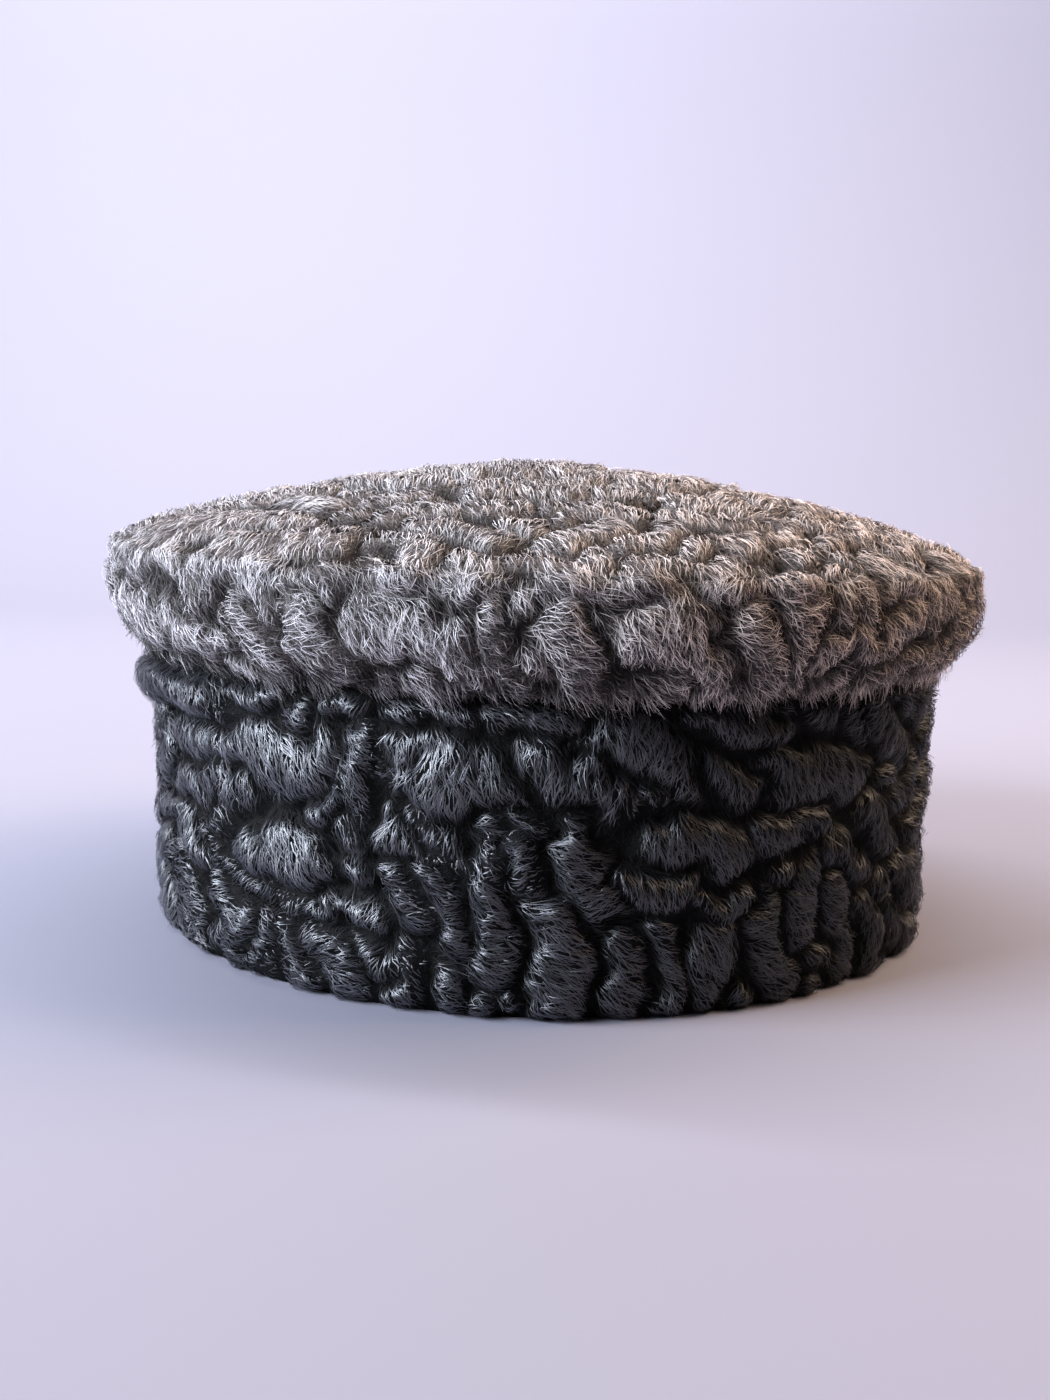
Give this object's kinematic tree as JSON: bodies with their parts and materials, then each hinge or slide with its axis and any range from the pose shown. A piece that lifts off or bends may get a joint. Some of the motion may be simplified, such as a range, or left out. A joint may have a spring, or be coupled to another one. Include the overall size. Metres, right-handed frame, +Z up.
{
  "type": "karakul hat",
  "caption": "Flat-topped hat of curled lamb pelt: a black band wall under a wider grey crown that overhangs it, open below for the head.",
  "frame": {"origin": "middle of the hat's plan, on the surface that its foot rests on", "axes": "+Z up through the crown, -Y towards the side that the picture shows, +X to that view's right"},
  "size_m": [0.2153, 0.2275, 0.1121],
  "materials": {
    "black_karakul": "black curled lamb fleece with a cool silky sheen",
    "grey_karakul": "grey curled lamb fleece, silver tips over dark brown roots"
  },
  "bodies": {
    "root": {"band": "black_karakul", "crown_side": "grey_karakul", "crown_top": "grey_karakul"}
  },
  "joints": []
}
